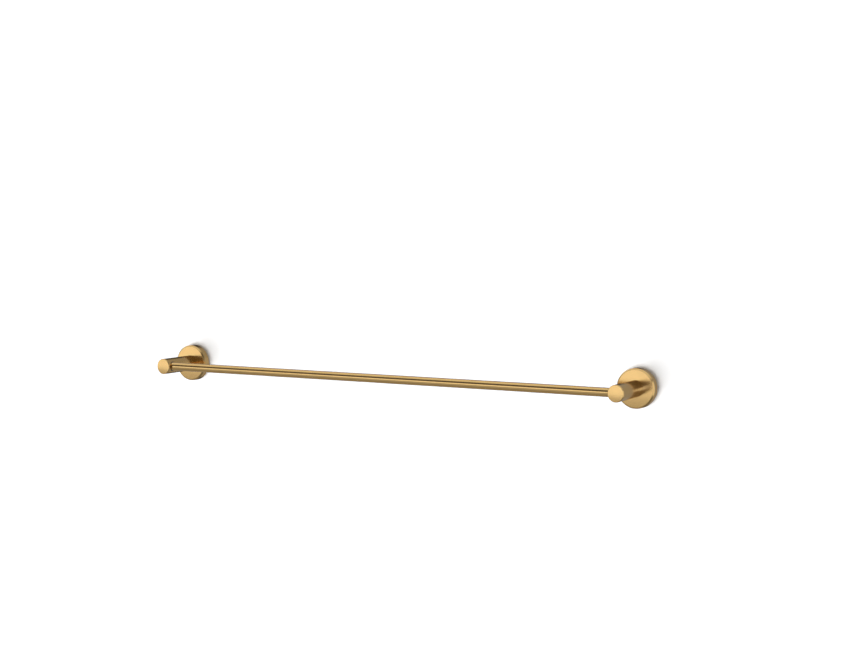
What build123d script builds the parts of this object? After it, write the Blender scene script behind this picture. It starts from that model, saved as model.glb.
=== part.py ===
from build123d import *
import os

# Wall-mounted towel rack: one round bar between two round posts, each on a round rose that
# hides its wall bracket. Millimetres. The origin is on the wall plane, midway between the
# posts and level with their axes: +X runs along the bar, +Y into the wall, +Z up.

# Driving dimensions
OVERALL_WIDTH = 800.0        # over both roses
PROJECTION = 80.0            # wall to the middle of a post's free end
ROSE_DIAMETER = 55.0
ROSE_THICKNESS = 11.5        # at the edge of its front face
ROSE_CHAMFER = 2.0           # round the rose's front edge
ROSE_CROWN_RADIUS = 270.0    # the front face is a shallow dome of this radius
POST_DIAMETER = 23.5
POST_CHAMFER = 0.8           # round the post's free end
POST_CROWN_RADIUS = 120.0    # the free end is a shallow dome of this radius
POST_FLAT_RADIUS = 1.5       # around a small flat middle
BAR_DIAMETER = 12.5
BAR_WALL = 1.2
BAR_SET_BACK = 11.0          # bar axis behind the free end of a post
WALL_SCREW_DIAMETER = 5.0
WALL_SCREW_LENGTH = 40.0
WALL_SCREW_SPACING = 28.0    # between the two screws of one bracket, centre to centre
POST_THREAD_DIAMETER = 6.0
GRUB_DIAMETER = 4.0

# Fits and small edges
RUNNING_CLEARANCE = 0.05     # radial, between the bar and the bushes that it turns in
SEATED_CLEARANCE = 0.02      # radial, between pieces that are pushed or screwed together
SLIDING_CLEARANCE = 0.2      # radial, between a rose and the bracket that it slides over
BAR_END_FLOAT = 0.3          # at each end of the bar
SOFT_EDGE = 0.3              # radius that takes the sharpness off a turned corner

# Rose: a turned cup, closed at the front
ROSE_FRONT_WALL = 4.0
ROSE_SKIRT = 3.5
ROSE_RADIUS = ROSE_DIAMETER / 2
ROSE_CAVITY_RADIUS = ROSE_RADIUS - ROSE_SKIRT
ROSE_CAVITY_DEPTH = ROSE_THICKNESS - ROSE_FRONT_WALL
ROSE_FACE_RADIUS = ROSE_RADIUS - ROSE_CHAMFER
ROSE_SCREW_HOLE_RADIUS = 3.3

# Post: solid bar stock with a locating spigot, a tapped hole and a blind socket
POST_RADIUS = POST_DIAMETER / 2
POST_SPACING = OVERALL_WIDTH - ROSE_DIAMETER
SPIGOT_RADIUS = 5.0
SPIGOT_LENGTH = 1.9
SPIGOT_RECESS = 2.0
TAPPED_DEPTH = 13.0
POST_END_RADIUS = POST_RADIUS - POST_CHAMFER

# Bar and the bushes in the posts
BAR_RADIUS = BAR_DIAMETER / 2
BAR_AXIS_Y = BAR_SET_BACK - PROJECTION
BUSH_WALL = 0.95
BUSH_BORE_RADIUS = BAR_RADIUS + RUNNING_CLEARANCE
BUSH_RADIUS = BUSH_BORE_RADIUS + BUSH_WALL
BUSH_LENGTH = 14.0
BUSH_FLOOR = 1.5
BUSH_MOUTH = 9.0             # from the post's axis to the bush's open end
SOCKET_FLOOR = BUSH_LENGTH - BUSH_MOUTH  # from the post's axis, away from the bar

# Wall bracket: a steel disc with a V groove round its edge for the rose's grub screw
BRACKET_RADIUS = ROSE_CAVITY_RADIUS - SLIDING_CLEARANCE
BRACKET_THICKNESS = 6.0
BRACKET_CENTRE_HOLE_RADIUS = 8.0
BRACKET_EDGE = 0.4
GROOVE_DEPTH = 1.4
GROOVE_Y = -3.2

# Screws and washer
WALL_SCREW_RADIUS = WALL_SCREW_DIAMETER / 2
WALL_SCREW_NECK_RADIUS = 1.9  # plain neck that passes through the bracket
WALL_SCREW_HEAD_RADIUS = 4.8
WALL_SCREW_HOLE_RADIUS = 2.75
WALL_SCREW_POINT = 5.0
CROSS_RECESS_LENGTH = 5.4
CROSS_RECESS_WIDTH = 1.1
CROSS_RECESS_DEPTH = 1.8
POST_THREAD_RADIUS = POST_THREAD_DIAMETER / 2
POST_SCREW_LENGTH = 14.0
POST_SCREW_HEAD_RADIUS = 5.25
POST_SCREW_HEAD_HEIGHT = 3.3
POST_SCREW_CROWN_RADIUS = 2.9  # flat top of the domed head
POST_SCREW_DOME_RISE = 0.5   # how far the dome stands out from a straight cone
POST_SCREW_KEY = 4.0         # across the flats of the hexagon socket
POST_SCREW_KEY_DEPTH = 2.0
WASHER_RADIUS = 5.9
WASHER_BORE_RADIUS = 3.1
WASHER_THICKNESS = 1.6
WASHER_SPLIT = 1.2
GRUB_RADIUS = GRUB_DIAMETER / 2
GRUB_LENGTH = 5.0
GRUB_KEY = 2.0
GRUB_KEY_DEPTH = 2.0

SIDES = {"left": -1, "right": 1}
TURN_Y_TO_X = Rot(0, 0, -90)
TURN_Y_TO_DOWN = Rot(-90, 0, 0)


def dome_rise(dome_radius, edge_radius, radius=0.0):
    """How far a dome stands, at a radius from its middle, above its own edge."""
    return (dome_radius**2 - radius**2) ** 0.5 - (dome_radius**2 - edge_radius**2) ** 0.5


SEAT_Y = -ROSE_THICKNESS - dome_rise(ROSE_CROWN_RADIUS, ROSE_FACE_RADIUS, POST_RADIUS)
POST_EDGE_Y = -PROJECTION + dome_rise(POST_CROWN_RADIUS, POST_END_RADIUS, POST_FLAT_RADIUS)


def turned(outline, soft_corners=(), arcs=None):
    """A solid of revolution about Y from (radius, y) points.

    Soft corners get a small radius. arcs gives the radius of each edge that is an arc: positive
    if it bends to the left of the way that the outline runs.
    """
    edges = []
    for edge in zip(outline, outline[1:] + outline[:1]):
        arc_radius = (arcs or {}).get(edge)
        edges.append(RadiusArc(*edge, arc_radius) if arc_radius else Line(*edge))
    face = make_face(edges)
    corners = [v for v in face.vertices() if any(is_at(v, corner) for corner in soft_corners)]
    if corners:
        face = fillet(corners, SOFT_EDGE)
    return revolve(face, Axis.Y)


def is_at(vertex, point):
    return abs(vertex.X - point[0]) + abs(vertex.Y - point[1]) < 0.001


def hexagon_socket(across_flats, depth):
    """A prism along Y, from y = 0 to y = depth."""
    outline = RegularPolygon(across_flats / 2, 6, major_radius=False)
    return extrude(Plane.XZ * outline, -depth)


def make_rose():
    """Cup that slides over the bracket, with a flat seat for the post in its domed face.

    The hole for its grub screw is at the bottom.
    """
    seat_edge = (POST_RADIUS, SEAT_Y)
    shoulder = (ROSE_FACE_RADIUS, -ROSE_THICKNESS)
    rim = (ROSE_RADIUS, ROSE_CHAMFER - ROSE_THICKNESS)
    rose = turned(
        [
            (ROSE_SCREW_HOLE_RADIUS, -ROSE_CAVITY_DEPTH),
            (ROSE_SCREW_HOLE_RADIUS, SEAT_Y + SPIGOT_RECESS),
            (SPIGOT_RADIUS, SEAT_Y + SPIGOT_RECESS),
            (SPIGOT_RADIUS, SEAT_Y),
            seat_edge,
            shoulder,
            rim,
            (ROSE_RADIUS, 0),
            (ROSE_CAVITY_RADIUS, 0),
            (ROSE_CAVITY_RADIUS, -ROSE_CAVITY_DEPTH),
        ],
        soft_corners=[shoulder, rim, (ROSE_RADIUS, 0)],
        arcs={(seat_edge, shoulder): -ROSE_CROWN_RADIUS},
    )
    grub_hole = Pos(0, GROOVE_Y, -ROSE_RADIUS) * Cylinder(GRUB_RADIUS, 3 * ROSE_SKIRT)
    return rose - grub_hole


def make_post(side):
    """Post with the bar's blind socket on the side that faces the other post."""
    hole_radius = POST_THREAD_RADIUS + SEATED_CLEARANCE
    end_edge = (POST_RADIUS, POST_EDGE_Y + POST_CHAMFER)
    end_face_edge = (POST_END_RADIUS, POST_EDGE_Y)
    flat_edge = (POST_FLAT_RADIUS, -PROJECTION)
    post = turned(
        [
            (0, SEAT_Y - TAPPED_DEPTH - hole_radius),
            (hole_radius, SEAT_Y - TAPPED_DEPTH),
            (hole_radius, SEAT_Y + SPIGOT_LENGTH),
            (SPIGOT_RADIUS - SEATED_CLEARANCE, SEAT_Y + SPIGOT_LENGTH),
            (SPIGOT_RADIUS - SEATED_CLEARANCE, SEAT_Y),
            (POST_RADIUS, SEAT_Y),
            end_edge,
            end_face_edge,
            flat_edge,
            (0, -PROJECTION),
        ],
        soft_corners=[end_edge, end_face_edge],
        arcs={(end_face_edge, flat_edge): POST_CROWN_RADIUS},
    )
    socket_length = SOCKET_FLOOR + 2 * POST_RADIUS
    socket = TURN_Y_TO_X * turned(
        [
            (0, 0),
            (BUSH_RADIUS + SEATED_CLEARANCE, 0),
            (BUSH_RADIUS + SEATED_CLEARANCE, socket_length),
            (0, socket_length),
        ]
    )
    return post - facing_centre(socket, SOCKET_FLOOR, side)


def facing_centre(piece, floor, side):
    """Places a piece that starts at x = 0 so that it runs from the post towards the centre."""
    turn = Rot(0, 0, 180) if side > 0 else Rot(0, 0, 0)
    return Pos(side * floor, BAR_AXIS_Y, 0) * turn * piece


def make_bush(side):
    """Nylon cup pushed into the post's socket: the bar turns in it and ends on its floor."""
    bush = TURN_Y_TO_X * turned(
        [
            (0, 0),
            (BUSH_RADIUS, 0),
            (BUSH_RADIUS, BUSH_LENGTH),
            (BUSH_BORE_RADIUS, BUSH_LENGTH),
            (BUSH_BORE_RADIUS, BUSH_FLOOR),
            (0, BUSH_FLOOR),
        ]
    )
    return facing_centre(bush, SOCKET_FLOOR, side)


def make_bar():
    """Tube that reaches into both bushes."""
    half_length = POST_SPACING / 2 + SOCKET_FLOOR - BUSH_FLOOR - BAR_END_FLOAT
    bore_radius = BAR_RADIUS - BAR_WALL
    tube = turned(
        [
            (bore_radius, -half_length),
            (BAR_RADIUS, -half_length),
            (BAR_RADIUS, half_length),
            (bore_radius, half_length),
        ],
        soft_corners=[(BAR_RADIUS, -half_length), (BAR_RADIUS, half_length)],
    )
    return Pos(0, BAR_AXIS_Y, 0) * TURN_Y_TO_X * tube


def make_wall_bracket():
    """Disc with two countersunk screw holes, a centre hole and the V groove."""
    front = -BRACKET_THICKNESS
    disc = turned(
        [
            (BRACKET_CENTRE_HOLE_RADIUS, front),
            (BRACKET_RADIUS - BRACKET_EDGE, front),
            (BRACKET_RADIUS, front + BRACKET_EDGE),
            (BRACKET_RADIUS, GROOVE_Y - GROOVE_DEPTH),
            (BRACKET_RADIUS - GROOVE_DEPTH, GROOVE_Y),
            (BRACKET_RADIUS, GROOVE_Y + GROOVE_DEPTH),
            (BRACKET_RADIUS, -BRACKET_EDGE),
            (BRACKET_RADIUS - BRACKET_EDGE, 0),
            (BRACKET_CENTRE_HOLE_RADIUS, 0),
        ]
    )
    mouth_radius = WALL_SCREW_HEAD_RADIUS + 2 * SEATED_CLEARANCE
    countersunk_hole = turned(
        [
            (0, front),
            (mouth_radius, front),
            (WALL_SCREW_HOLE_RADIUS, front + mouth_radius - WALL_SCREW_HOLE_RADIUS),
            (WALL_SCREW_HOLE_RADIUS, 0),
            (0, 0),
        ]
    )
    for level in (-1, 1):
        disc -= Pos(0, 0, level * WALL_SCREW_SPACING / 2) * countersunk_hole
    return disc


def make_wall_screw():
    """Countersunk screw, head flush with the bracket; its thread, a plain shank, is in the wall."""
    head = -BRACKET_THICKNESS
    point = head + WALL_SCREW_LENGTH
    screw = turned(
        [
            (0, head),
            (WALL_SCREW_HEAD_RADIUS, head),
            (WALL_SCREW_NECK_RADIUS, head + WALL_SCREW_HEAD_RADIUS - WALL_SCREW_NECK_RADIUS),
            (WALL_SCREW_NECK_RADIUS, 0),
            (WALL_SCREW_RADIUS, 0),
            (WALL_SCREW_RADIUS, point - WALL_SCREW_POINT),
            (0, point),
        ]
    )
    slot = Box(CROSS_RECESS_LENGTH, 2 * CROSS_RECESS_DEPTH, CROSS_RECESS_WIDTH)
    cross_recess = slot + Rot(0, 90, 0) * slot
    return screw - Pos(0, head, 0) * cross_recess


def make_lock_washer():
    """Split spring washer between the post screw's head and the rose."""
    seat = -ROSE_CAVITY_DEPTH
    washer = turned(
        [
            (WASHER_BORE_RADIUS, seat),
            (WASHER_RADIUS, seat),
            (WASHER_RADIUS, seat + WASHER_THICKNESS),
            (WASHER_BORE_RADIUS, seat + WASHER_THICKNESS),
        ]
    )
    split = Pos(WASHER_RADIUS, seat, 0) * Box(WASHER_RADIUS, 4 * WASHER_THICKNESS, WASHER_SPLIT)
    return washer - split


def make_post_screw():
    """Button-head screw from inside the rose into the post; its thread is a plain shank."""
    under_head = -ROSE_CAVITY_DEPTH + WASHER_THICKNESS
    top = under_head + POST_SCREW_HEAD_HEIGHT
    rim = (POST_SCREW_HEAD_RADIUS, under_head)
    crown_edge = (POST_SCREW_CROWN_RADIUS, top)
    outline = Polyline(
        (0, top),
        (0, under_head - POST_SCREW_LENGTH),
        (POST_THREAD_RADIUS, under_head - POST_SCREW_LENGTH),
        (POST_THREAD_RADIUS, under_head),
        rim,
    )
    dome = SagittaArc(rim, crown_edge, -POST_SCREW_DOME_RISE)
    crown = Line(crown_edge, (0, top))
    screw = revolve(make_face(outline + dome + crown), Axis.Y)
    return screw - Pos(0, top, 0) * hexagon_socket(POST_SCREW_KEY, -POST_SCREW_KEY_DEPTH)


def make_grub_screw():
    """Headless cone-point screw through the rose's skirt into the bracket's groove."""
    tip = BRACKET_RADIUS - GROOVE_DEPTH + SEATED_CLEARANCE
    radius = GRUB_RADIUS - SEATED_CLEARANCE
    screw = turned(
        [
            (0, tip),
            (radius, tip + radius),
            (radius, tip + GRUB_LENGTH),
            (0, tip + GRUB_LENGTH),
        ]
    )
    socket = Pos(0, tip + GRUB_LENGTH, 0) * hexagon_socket(GRUB_KEY, -GRUB_KEY_DEPTH)
    return Pos(0, GROOVE_Y, 0) * TURN_Y_TO_DOWN * (screw - socket)


def write(node, shape):
    export_step(shape, f"parts/{node}.step")


os.makedirs("parts", exist_ok=True)
write("towel_bar", make_bar())
for name, side in SIDES.items():
    at_post = Pos(side * POST_SPACING / 2, 0, 0)
    write(f"{name}_wall_bracket", at_post * make_wall_bracket())
    for place, level in {"upper": 1, "lower": -1}.items():
        at_screw = at_post * Pos(0, 0, level * WALL_SCREW_SPACING / 2)
        write(f"{name}_{place}_wall_screw", at_screw * make_wall_screw())
    write(f"{name}_rose", at_post * make_rose())
    write(f"{name}_rose_grub_screw", at_post * make_grub_screw())
    write(f"{name}_post", at_post * make_post(side))
    write(f"{name}_post_screw", at_post * make_post_screw())
    write(f"{name}_lock_washer", at_post * make_lock_washer())
    write(f"{name}_bar_bush", at_post * make_bush(side))
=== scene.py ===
import math

import bmesh
import bpy
from mathutils import Matrix, Vector


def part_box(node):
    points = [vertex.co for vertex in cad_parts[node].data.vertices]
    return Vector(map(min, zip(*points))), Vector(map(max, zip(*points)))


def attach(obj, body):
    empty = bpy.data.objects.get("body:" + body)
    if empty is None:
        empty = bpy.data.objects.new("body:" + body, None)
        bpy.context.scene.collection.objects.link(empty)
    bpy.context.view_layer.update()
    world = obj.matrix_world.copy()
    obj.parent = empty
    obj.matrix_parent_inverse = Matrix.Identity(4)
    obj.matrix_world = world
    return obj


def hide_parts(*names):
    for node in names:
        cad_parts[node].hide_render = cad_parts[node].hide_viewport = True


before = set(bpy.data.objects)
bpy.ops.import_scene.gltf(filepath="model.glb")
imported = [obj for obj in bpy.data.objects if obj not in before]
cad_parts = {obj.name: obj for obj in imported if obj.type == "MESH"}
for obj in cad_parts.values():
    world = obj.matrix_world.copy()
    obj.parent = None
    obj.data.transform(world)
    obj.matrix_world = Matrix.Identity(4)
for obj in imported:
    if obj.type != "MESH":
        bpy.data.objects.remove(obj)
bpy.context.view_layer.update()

SIDES = ("left", "right")
LEVELS = ("upper", "lower")

# Base colours of the finishes.
GOLD = (0.95, 0.63, 0.26)
STEEL = (0.62, 0.61, 0.59)
ZINC_DARK = (0.60, 0.62, 0.66)
ZINC_PALE = (0.72, 0.72, 0.72)
ZINC_EDGE = (0.80, 0.80, 0.78)
NYLON = (0.030, 0.030, 0.032)
NYLON_PALE = (0.045, 0.045, 0.047)
NYLON_EDGE = (0.11, 0.11, 0.11)

# Roughness: the bar, brushed lengthwise, is a little glossier than the turned pieces.
GOLD_ROUGHNESS = 0.18
BAR_ROUGHNESS = 0.14
STEEL_ROUGHNESS = 0.28
ZINC_ROUGHNESS = (0.28, 0.40)
NYLON_ROUGHNESS = (0.46, 0.58)
GRAIN_ROUGHNESS_SWING = 0.04
EDGE_ROUGHNESS_RISE = 0.06

# Grain, clouds and skin: cells of the pattern in a metre, and depths in metres.
GOLD_GRAIN = 4500
GOLD_STREAKS = 60        # along the grain
GOLD_DEPTH = 0.000004
STEEL_GRAIN = 6000
STEEL_STREAKS = 200
STEEL_DEPTH = 0.000001
METAL_CLOUDS = 45
ZINC_CLOUDS = 500
ZINC_SKIN = 900
NYLON_SKIN = 2500
SKIN_DEPTH = 0.00001

# Detail of each noise pattern, and the two values that nearly all of it lies between.
GRAIN_DETAIL = 4.0
METAL_CLOUD_DETAIL = 2.0
ZINC_CLOUD_DETAIL = 5.0
SKIN_DETAIL = 3.0
NOISE_LOW = 0.3
NOISE_HIGH = 0.7

# Tone of a metal against its base colour, and how much of an edge's own tone shows.
DARK_TONE = 0.93
PALE_TONE = 1.05
EDGE_TONE = 0.80
EDGE_WHITENING = 0.25
METAL_EDGE_SHARE = 0.45
ZINC_EDGE_SHARE = 0.6
NYLON_EDGE_SHARE = 0.5

# An edge is worn where the rounded normal leaves the true one: cosines of the angle between them.
EDGE_WEAR_RADIUS = 0.0004
EDGE_WEAR_SAMPLES = 4
WEAR_STARTS = 0.995
WEAR_FULL = 0.90


# ---------------------------------------------------------------- node helpers

def new_material(name):
    material = bpy.data.materials.new(name)
    material.use_nodes = True
    tree = material.node_tree
    tree.nodes.clear()
    out = tree.nodes.new("ShaderNodeOutputMaterial")
    shader = tree.nodes.new("ShaderNodeBsdfPrincipled")
    tree.links.new(shader.outputs["BSDF"], out.inputs["Surface"])
    return material, tree, shader


def add(tree, kind, **settings):
    node = tree.nodes.new(kind)
    for key, value in settings.items():
        setattr(node, key, value)
    return node


def feed(tree, socket, value):
    """Links an output to a socket, or sets the socket to a number."""
    if isinstance(value, (int, float)):
        socket.default_value = value
    else:
        tree.links.new(value, socket)


def calculate(tree, operation, first, second=0.0):
    node = add(tree, "ShaderNodeMath", operation=operation)
    feed(tree, node.inputs[0], first)
    feed(tree, node.inputs[1], second)
    return node.outputs[0]


def product(tree, *factors):
    result = factors[0]
    for factor in factors[1:]:
        result = calculate(tree, "MULTIPLY", result, factor)
    return result


def span(tree, value, start, end, low=0.0, high=1.0, kind="LINEAR"):
    """Maps start..end to low..high."""
    node = add(tree, "ShaderNodeMapRange", interpolation_type=kind)
    tree.links.new(value, node.inputs["Value"])
    for name, number in (("From Min", start), ("From Max", end), ("To Min", low), ("To Max", high)):
        node.inputs[name].default_value = number
    return node.outputs[0]


def blend(tree, first, second, share):
    """Goes from the first colour to the second as the share grows."""
    node = add(tree, "ShaderNodeMix", data_type="RGBA")
    feed(tree, node.inputs["Factor"], share)
    for socket, colour in ((node.inputs["A"], first), (node.inputs["B"], second)):
        if isinstance(colour, tuple):
            socket.default_value = (*colour, 1.0)
        else:
            tree.links.new(colour, socket)
    return node.outputs["Result"]


def coordinates(tree):
    return add(tree, "ShaderNodeTexCoord").outputs["Object"]


def split_up(tree, vector):
    node = add(tree, "ShaderNodeSeparateXYZ")
    tree.links.new(vector, node.inputs[0])
    return node.outputs


def noise(tree, place, cells, detail):
    """Noise with so many cells in a metre along x, y and z."""
    scaled = add(tree, "ShaderNodeMapping")
    scaled.inputs["Scale"].default_value = cells
    tree.links.new(place, scaled.inputs["Vector"])
    node = add(tree, "ShaderNodeTexNoise")
    node.inputs["Scale"].default_value = 1.0
    node.inputs["Detail"].default_value = detail
    tree.links.new(scaled.outputs["Vector"], node.inputs["Vector"])
    return node.outputs["Fac"]


def even_noise(tree, cells, detail):
    """Noise with the same number of cells in a metre every way."""
    return noise(tree, coordinates(tree), (cells, cells, cells), detail)


def stretch(tree, pattern, low=0.0, high=1.0):
    """Stretches a noise pattern over low..high."""
    return span(tree, pattern, NOISE_LOW, NOISE_HIGH, low, high)


def edge_wear(tree):
    """From 0 on open faces to 1 on sharp edges."""
    bevel = add(tree, "ShaderNodeBevel", samples=EDGE_WEAR_SAMPLES)
    bevel.inputs["Radius"].default_value = EDGE_WEAR_RADIUS
    normal = add(tree, "ShaderNodeNewGeometry").outputs["Normal"]
    cosine = add(tree, "ShaderNodeVectorMath", operation="DOT_PRODUCT")
    tree.links.new(bevel.outputs["Normal"], cosine.inputs[0])
    tree.links.new(normal, cosine.inputs[1])
    return span(tree, cosine.outputs["Value"], WEAR_STARTS, WEAR_FULL)


def bump(tree, shader, height, depth):
    node = add(tree, "ShaderNodeBump")
    node.inputs["Strength"].default_value = 1.0
    node.inputs["Distance"].default_value = depth
    tree.links.new(height, node.inputs["Height"])
    tree.links.new(node.outputs["Normal"], shader.inputs["Normal"])


# ---------------------------------------------------------------- metals

def turned_coordinates(tree, middle_x):
    """Coordinates of a piece turned about a line along Y: its radius, y and z."""
    x, y, z = split_up(tree, coordinates(tree))
    across = calculate(tree, "SUBTRACT", x, middle_x)
    squares = calculate(tree, "ADD", product(tree, across, across), product(tree, z, z))
    radius = calculate(tree, "SQRT", squares)
    joined = add(tree, "ShaderNodeCombineXYZ")
    for socket, value in zip(joined.inputs, (radius, y, z)):
        tree.links.new(value, socket)
    return joined.outputs[0]


def toned(colour, share, whitening=0.0):
    return tuple(min(1.0, whitening + share * part) for part in colour)


def finish_metal(tree, shader, grain, colour, roughness, depth):
    """Metal with a fine brushed grain, a cloudy tone and paler, rougher edges."""
    clouds = even_noise(tree, METAL_CLOUDS, METAL_CLOUD_DETAIL)
    edges = edge_wear(tree)
    # clouds and grain each give half of the way from the dark tone to the pale one
    mottling = calculate(tree, "ADD", stretch(tree, clouds, 0.0, 0.5), stretch(tree, grain, 0.0, 0.5))
    tone = blend(tree, toned(colour, DARK_TONE), toned(colour, PALE_TONE), mottling)
    worn = product(tree, edges, METAL_EDGE_SHARE)
    tone = blend(tree, tone, toned(colour, EDGE_TONE, EDGE_WHITENING), worn)
    tree.links.new(tone, shader.inputs["Base Color"])
    shader.inputs["Metallic"].default_value = 1.0
    smoothest, roughest = roughness - GRAIN_ROUGHNESS_SWING, roughness + GRAIN_ROUGHNESS_SWING
    uneven = stretch(tree, grain, smoothest, roughest)
    rougher = calculate(tree, "ADD", uneven, product(tree, edges, EDGE_ROUGHNESS_RISE))
    tree.links.new(rougher, shader.inputs["Roughness"])
    bump(tree, shader, grain, depth)


def gold_turned(name, middle_x):
    """Gold of a post or rose, brushed round the piece's own axis."""
    material, tree, shader = new_material(name)
    cells = (GOLD_GRAIN, GOLD_GRAIN, GOLD_STREAKS)
    grain = noise(tree, turned_coordinates(tree, middle_x), cells, GRAIN_DETAIL)
    finish_metal(tree, shader, grain, GOLD, GOLD_ROUGHNESS, GOLD_DEPTH)
    return material


def gold_drawn(name):
    """Gold of the bar, brushed along its length."""
    material, tree, shader = new_material(name)
    cells = (GOLD_STREAKS, GOLD_GRAIN, GOLD_GRAIN)
    grain = noise(tree, coordinates(tree), cells, GRAIN_DETAIL)
    finish_metal(tree, shader, grain, GOLD, BAR_ROUGHNESS, GOLD_DEPTH)
    return material


def steel_turned(name, middle_x):
    """Bright stainless of the screws, with fine lathe lines."""
    material, tree, shader = new_material(name)
    cells = (STEEL_GRAIN, STEEL_GRAIN, STEEL_STREAKS)
    grain = noise(tree, turned_coordinates(tree, middle_x), cells, GRAIN_DETAIL)
    finish_metal(tree, shader, grain, STEEL, STEEL_ROUGHNESS, STEEL_DEPTH)
    return material


def zinc_plate(name):
    """Zinc-plated steel: pale and bluish, with faint clouds."""
    material, tree, shader = new_material(name)
    clouds = even_noise(tree, ZINC_CLOUDS, ZINC_CLOUD_DETAIL)
    worn = product(tree, edge_wear(tree), ZINC_EDGE_SHARE)
    tone = blend(tree, ZINC_DARK, ZINC_PALE, stretch(tree, clouds))
    tree.links.new(blend(tree, tone, ZINC_EDGE, worn), shader.inputs["Base Color"])
    shader.inputs["Metallic"].default_value = 1.0
    tree.links.new(stretch(tree, clouds, *ZINC_ROUGHNESS), shader.inputs["Roughness"])
    bump(tree, shader, even_noise(tree, ZINC_SKIN, SKIN_DETAIL), SKIN_DEPTH)
    return material


# ---------------------------------------------------------------- nylon

def nylon(name):
    """Moulded black nylon with a fine orange-peel skin and scuffed edges."""
    material, tree, shader = new_material(name)
    skin = even_noise(tree, NYLON_SKIN, SKIN_DETAIL)
    worn = product(tree, edge_wear(tree), NYLON_EDGE_SHARE)
    tone = blend(tree, NYLON, NYLON_PALE, skin)
    tree.links.new(blend(tree, tone, NYLON_EDGE, worn), shader.inputs["Base Color"])
    tree.links.new(stretch(tree, skin, *NYLON_ROUGHNESS), shader.inputs["Roughness"])
    bump(tree, shader, skin, SKIN_DEPTH)
    return material


# ---------------------------------------------------------------- threaded wall screws

SCREW_HEAD_RADIUS = 0.0048
SCREW_NECK_RADIUS = 0.0019
SCREW_CORE_RADIUS = 0.0017
SCREW_THREAD_RADIUS = 0.0025
SCREW_PITCH = 0.0022
SCREW_POINT = 0.005              # length of the tapered end
RIDGE_HALF_WIDTH = 0.08          # of a pitch
RECESS_DEPTH = 0.0018
RECESS_RADIUS = 0.0026
RECESS_FLOOR_RADIUS = 0.0003     # of the small face in the middle of the recess's floor
RECESS_LOBES = 6
LOBE_HEIGHT = 0.14               # of the recess's radius
TURN_STEPS = 40                  # corners in each ring
PITCH_STEPS = 28                 # rings in each pitch
SHARP_ANGLE = math.radians(35)


def lobed_radius(radius, turn):
    """Outline of the driver's recess: rounded lobes."""
    return radius * (1 - LOBE_HEIGHT + LOBE_HEIGHT * math.cos(2 * math.pi * RECESS_LOBES * turn))


def thread_radius(depth, turn, length):
    """Radius at a depth in the wall: a sharp helical ridge that tapers to the point."""
    if depth <= 0:
        return SCREW_NECK_RADIUS
    taper = min(1.0, (length - depth) / SCREW_POINT)
    phase = (depth / SCREW_PITCH - turn) % 1.0
    ridge = max(0.0, 1.0 - abs(phase - 0.5) / RIDGE_HALF_WIDTH)
    run_out = min(1.0, depth / SCREW_PITCH)
    return taper * (SCREW_CORE_RADIUS + ridge * run_out * (SCREW_THREAD_RADIUS - SCREW_CORE_RADIUS))


def add_ring(built, middle_x, middle_z, y, radius_at):
    """Ring of corners round a line along Y, with a radius for each share of a turn."""
    ring = []
    for step in range(TURN_STEPS):
        turn = step / TURN_STEPS
        angle = 2 * math.pi * turn
        radius = radius_at(turn)
        x = middle_x + radius * math.cos(angle)
        z = middle_z + radius * math.sin(angle)
        ring.append(built.verts.new((x, y, z)))
    return ring


def build_screw(middle_x, middle_z, head, point):
    """Closed mesh from the recess's floor, out over the head and down the thread to the tip."""
    neck = head + SCREW_HEAD_RADIUS - SCREW_NECK_RADIUS
    built = bmesh.new()
    rings = []

    def lobed_ring(y, radius):
        rings.append(add_ring(built, middle_x, middle_z, y, lambda turn: lobed_radius(radius, turn)))

    def round_ring(y, radius):
        rings.append(add_ring(built, middle_x, middle_z, y, lambda turn: radius))

    def thread_ring(depth):
        rings.append(add_ring(built, middle_x, middle_z, depth,
                              lambda turn: thread_radius(depth, turn, point)))

    lobed_ring(head + RECESS_DEPTH, RECESS_FLOOR_RADIUS)
    lobed_ring(head + RECESS_DEPTH, RECESS_RADIUS)
    lobed_ring(head, RECESS_RADIUS)
    round_ring(head, SCREW_HEAD_RADIUS)
    round_ring(neck, SCREW_NECK_RADIUS)
    count = int(point / (SCREW_PITCH / PITCH_STEPS))
    for step in range(count):
        thread_ring(step * point / count)
    for upper, lower in zip(rings, rings[1:]):
        for i in range(TURN_STEPS):
            j = (i + 1) % TURN_STEPS
            built.faces.new((upper[i], upper[j], lower[j], lower[i]))
    built.faces.new(rings[0])
    tip = built.verts.new((middle_x, point, middle_z))
    for i in range(TURN_STEPS):
        built.faces.new((rings[-1][i], rings[-1][(i + 1) % TURN_STEPS], tip))
    bmesh.ops.recalc_face_normals(built, faces=built.faces)
    return built


def make_wall_screw(node, material):
    """Countersunk screw with a lobed recess and a wood thread, where the plain one stands."""
    low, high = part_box(node)
    built = build_screw((low[0] + high[0]) / 2, (low[2] + high[2]) / 2, low[1], high[1])
    name = f"threaded_{node}"
    mesh = bpy.data.meshes.new(name)
    built.to_mesh(mesh)
    built.free()
    for polygon in mesh.polygons:
        polygon.use_smooth = True
    mesh.set_sharp_from_angle(angle=SHARP_ANGLE)
    mesh.materials.append(material)
    screw = bpy.data.objects.new(name, mesh)
    bpy.context.scene.collection.objects.link(screw)
    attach(screw, "wall_fittings")
    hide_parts(node)


# ---------------------------------------------------------------- finish of each piece

def give(node, material):
    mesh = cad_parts[node].data
    mesh.materials.clear()
    mesh.materials.append(material)


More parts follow.
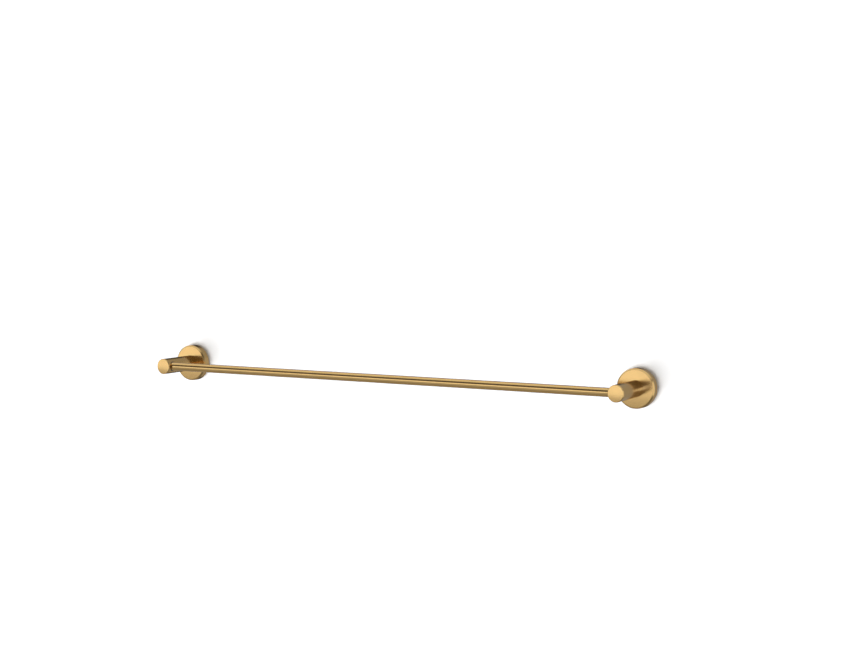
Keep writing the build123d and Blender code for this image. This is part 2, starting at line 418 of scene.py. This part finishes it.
def finish_side(side, zinc, black):
    low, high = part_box(f"{side}_post")
    middle_x = (low[0] + high[0]) / 2
    gold = gold_turned(f"gold_{side}", middle_x)
    steel = steel_turned(f"steel_{side}", middle_x)
    for part in ("post", "rose"):
        give(f"{side}_{part}", gold)
    for part in ("rose_grub_screw", "post_screw"):
        give(f"{side}_{part}", steel)
    for level in LEVELS:
        wall_screw = f"{side}_{level}_wall_screw"
        give(wall_screw, steel)
        make_wall_screw(wall_screw, steel)
    for part in ("wall_bracket", "lock_washer"):
        give(f"{side}_{part}", zinc)
    give(f"{side}_bar_bush", black)


def finish_pieces():
    give("towel_bar", gold_drawn("gold_bar"))
    zinc = zinc_plate("zinc")
    black = nylon("nylon")
    for side in SIDES:
        finish_side(side, zinc, black)


# ---------------------------------------------------------------- wall and floor

WALL_GAP = 0.0005        # behind the roses, so that no two faces lie in one plane
WALL_HALF_WIDTH = 4.0
WALL_TOP = 3.0
FLOOR_LEVEL = -1.2
FLOOR_DEPTH = 4.0
COVE_RADIUS = 0.6
COVE_STEPS = 16
BACKDROP_WHITE = (0.9, 0.9, 0.9, 1)
GLOW_WHITE = (1, 1, 1, 1)
FLOOR_GLOW = 0.55        # makes up for the key light, which comes from below
GLOW_STARTS = 0.1        # upward part of the normal where the glow begins


def backdrop_section():
    """Points (y, z) down the wall, round the cove and out over the floor."""
    section = [(WALL_GAP, WALL_TOP)]
    for step in range(COVE_STEPS + 1):
        angle = math.pi / 2 * step / COVE_STEPS
        away = COVE_RADIUS * (1 - math.cos(angle))
        height = FLOOR_LEVEL + COVE_RADIUS * (1 - math.sin(angle))
        section.append((WALL_GAP - away, height))
    section.append((-FLOOR_DEPTH, FLOOR_LEVEL))
    return section


def matt_white(name):
    """Matt white that glows, only to the camera, where it faces up, and is clear from behind."""
    material, tree, shader = new_material(name)
    shader.inputs["Base Color"].default_value = BACKDROP_WHITE
    shader.inputs["Roughness"].default_value = 1.0
    shader.inputs["Specular IOR Level"].default_value = 0.0
    shader.inputs["Emission Color"].default_value = GLOW_WHITE
    surface = add(tree, "ShaderNodeNewGeometry")
    upward = split_up(tree, surface.outputs["Normal"])["Z"]
    seen = add(tree, "ShaderNodeLightPath").outputs["Is Camera Ray"]
    glow = product(tree, seen, span(tree, upward, GLOW_STARTS, 1.0, 0.0, FLOOR_GLOW))
    tree.links.new(glow, shader.inputs["Emission Strength"])
    clear = add(tree, "ShaderNodeBsdfTransparent")
    mix = add(tree, "ShaderNodeMixShader")
    tree.links.new(surface.outputs["Backfacing"], mix.inputs["Fac"])
    tree.links.new(shader.outputs["BSDF"], mix.inputs[1])
    tree.links.new(clear.outputs["BSDF"], mix.inputs[2])
    tree.links.new(mix.outputs["Shader"], tree.nodes["Material Output"].inputs["Surface"])
    return material


def make_backdrop():
    """White wall that curves into a pale floor; the metal doesn't mirror it."""
    section = backdrop_section()
    points = [(x, y, z) for y, z in section for x in (-WALL_HALF_WIDTH, WALL_HALF_WIDTH)]
    faces = [(2 * i, 2 * i + 1, 2 * i + 3, 2 * i + 2) for i in range(len(section) - 1)]
    mesh = bpy.data.meshes.new("backdrop")
    mesh.from_pydata(points, [], faces)
    mesh.flip_normals()
    for polygon in mesh.polygons:
        polygon.use_smooth = True
    mesh.materials.append(matt_white("backdrop_white"))
    backdrop = bpy.data.objects.new("backdrop", mesh)
    bpy.context.scene.collection.objects.link(backdrop)
    backdrop.visible_glossy = False
    backdrop.visible_shadow = False


# ---------------------------------------------------------------- key light

KEY_FROM = Vector((-0.46, -1.0, -0.32))
KEY_SPREAD = math.radians(42)
KEY_STRENGTH = 3.9


def make_key_light():
    """Large soft light, low on the left, for the shadow round each rose; the bar casts none."""
    light = bpy.data.lights.new("key", "SUN")
    light.angle = KEY_SPREAD
    light.energy = KEY_STRENGTH
    key = bpy.data.objects.new("key", light)
    key.rotation_euler = KEY_FROM.to_track_quat("Z", "Y").to_euler()
    key.visible_glossy = False
    bpy.context.scene.collection.objects.link(key)
    casters = bpy.data.collections.new("shadow_casters")
    for name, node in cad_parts.items():
        if name != "towel_bar":
            casters.objects.link(node)
    key.light_linking.blocker_collection = casters


# ---------------------------------------------------------------- surroundings

# Brightness of what the metal mirrors.
STUDIO_GLOW = 0.10
FLOOR_LOW_GLOW = 0.25
FLOOR_HORIZON_GLOW = 0.52
FLOOR_RIGHT_GLOW = 0.16
FRONT_BOX_GLOW = 0.99
STRIP_GLOW = 0.95
SIDE_BOX_GLOW = 0.74
WALL_GLOW = 0.29
WALL_RIGHT_GLOW = 0.42
WALL_LEFT_GLOW = 0.04
OVERHEAD_GLOW = 0.68

# Bands of direction, in degrees: where a band begins, is full, starts to fade and ends.
# Tilt goes up from the front and on over the top; heading goes to the right from the front.
FRONT_BOX_TILT = (-11.5, -10.5, 8, 19)
FRONT_BOX_HEADING = (-85, -70, -9, -3)
STRIP_TILT = (-11.5, -10.5, 3, 7)
STRIP_HEADING = (10, 16, 31, 38)
SIDE_BOX_HEADING = (50, 58, 84, 92)
SIDE_BOX_HEIGHT = (-35, -25, 20, 30)
OVERHEAD_TILT = (54, 62, 118, 132)

# Single edges, in degrees: where the change begins and where it is complete.
FLOOR_SHADE_TILT = (-60, -8)
FLOOR_RIGHT_HEADING = (-14, -4)
FLOOR_EDGE_TILT = (-10.5, -11.5)

# Edges on the wall's side, as x and y of a direction of length 1.
WALL_Y = (-0.03, 0.03)
WALL_RIGHT_X = (0.48, 0.62)
WALL_LEFT_X = (-0.10, -0.40)
WALL_LEFT_Y = (0.65, 0.80)

AMBIENT = 0.22               # for diffuse rays, in place of all of the above
WHITE = (1.0, 1.0, 1.0)
COOL = (0.80, 1.12, 2.2)     # of the strip, as it is mirrored


def make_world():
    """Soft boxes and a pale floor for the metal to mirror; plain white to the camera."""
    world = bpy.data.worlds.new("studio")
    bpy.context.scene.world = world
    world.use_nodes = True
    tree = world.node_tree
    tree.nodes.clear()

    def ramp(value, start, end, low=0.0, high=1.0):
        return span(tree, value, start, end, low, high, "SMOOTHSTEP")

    def band(value, limits):
        begin, full, fade, end = limits
        return product(tree, ramp(value, begin, full), ramp(value, end, fade))

    def layer(under, over, mask):
        node = add(tree, "ShaderNodeMix", data_type="FLOAT")
        tree.links.new(mask, node.inputs["Factor"])
        feed(tree, node.inputs["A"], under)
        feed(tree, node.inputs["B"], over)
        return node.outputs[0]

    x, y, z = split_up(tree, add(tree, "ShaderNodeTexCoord").outputs["Generated"])
    front = product(tree, y, -1.0)
    tilt = calculate(tree, "DEGREES", calculate(tree, "ARCTAN2", z, front))
    heading = calculate(tree, "DEGREES", calculate(tree, "ARCTAN2", x, front))
    height = calculate(tree, "DEGREES", calculate(tree, "ARCSINE", z))

    # floor: brighter towards the horizon and to the left
    floor = span(tree, tilt, *FLOOR_SHADE_TILT, FLOOR_LOW_GLOW, FLOOR_HORIZON_GLOW)
    floor = layer(floor, FLOOR_RIGHT_GLOW, ramp(heading, *FLOOR_RIGHT_HEADING))
    glow = layer(STUDIO_GLOW, floor, ramp(tilt, *FLOOR_EDGE_TILT))
    # front soft box, to the left
    front_box = product(tree, band(tilt, FRONT_BOX_TILT), band(heading, FRONT_BOX_HEADING))
    glow = layer(glow, FRONT_BOX_GLOW, front_box)
    # low strip to the right of it
    strip = product(tree, band(tilt, STRIP_TILT), band(heading, STRIP_HEADING))
    glow = layer(glow, STRIP_GLOW, strip)
    # side soft box, to the right
    side_box = product(tree, band(heading, SIDE_BOX_HEADING), band(height, SIDE_BOX_HEIGHT))
    glow = layer(glow, SIDE_BOX_GLOW, side_box)
    # the wall's side: brighter to the right, dark at the left, where grazing rays end
    wall = ramp(x, *WALL_RIGHT_X, WALL_GLOW, WALL_RIGHT_GLOW)
    glow = layer(glow, wall, ramp(y, *WALL_Y))
    wall_left = product(tree, ramp(x, *WALL_LEFT_X), ramp(y, *WALL_LEFT_Y))
    glow = layer(glow, WALL_LEFT_GLOW, wall_left)
    # overhead soft box
    glow = layer(glow, OVERHEAD_GLOW, band(tilt, OVERHEAD_TILT))

    path = add(tree, "ShaderNodeLightPath")
    strength = layer(glow, AMBIENT, path.outputs["Is Diffuse Ray"])
    strength = layer(strength, 1.0, path.outputs["Is Camera Ray"])
    cool_share = product(tree, strip, path.outputs["Is Glossy Ray"])
    background = add(tree, "ShaderNodeBackground")
    tree.links.new(blend(tree, WHITE, COOL, cool_share), background.inputs["Color"])
    tree.links.new(strength, background.inputs["Strength"])
    out = add(tree, "ShaderNodeOutputWorld")
    tree.links.new(background.outputs[0], out.inputs["Surface"])


# ---------------------------------------------------------------- camera

# The photographer's stand: place in metres in the frame's axes, angles in degrees.
CAMERA_PLACE = Vector((1.18782, -2.04375, 0.24559))
CAMERA_AZIMUTH = 29.336
CAMERA_ELEVATION = 4.591
CAMERA_ROLL = -0.038
CAMERA_LENS_MM = 69.16
SENSOR_MM = 36.0


def make_camera():
    camera = bpy.data.objects.new("camera", bpy.data.cameras.new("camera"))
    bpy.context.scene.collection.objects.link(camera)
    azimuth, elevation, roll = map(math.radians, (CAMERA_AZIMUTH, CAMERA_ELEVATION, CAMERA_ROLL))
    back = Vector((
        math.sin(azimuth) * math.cos(elevation),
        -math.cos(azimuth) * math.cos(elevation),
        math.sin(elevation),
    ))
    level = Vector((math.cos(azimuth), math.sin(azimuth), 0))
    upright = back.cross(level)
    right = math.cos(roll) * level + math.sin(roll) * upright
    up = math.cos(roll) * upright - math.sin(roll) * level
    turn = Matrix((right, up, back)).transposed()
    camera.matrix_world = Matrix.Translation(CAMERA_PLACE) @ turn.to_4x4()
    camera.data.sensor_width = SENSOR_MM
    camera.data.lens = CAMERA_LENS_MM
    bpy.context.scene.camera = camera


finish_pieces()
make_backdrop()
make_key_light()
make_world()
make_camera()
bpy.context.scene.view_settings.view_transform = "Standard"
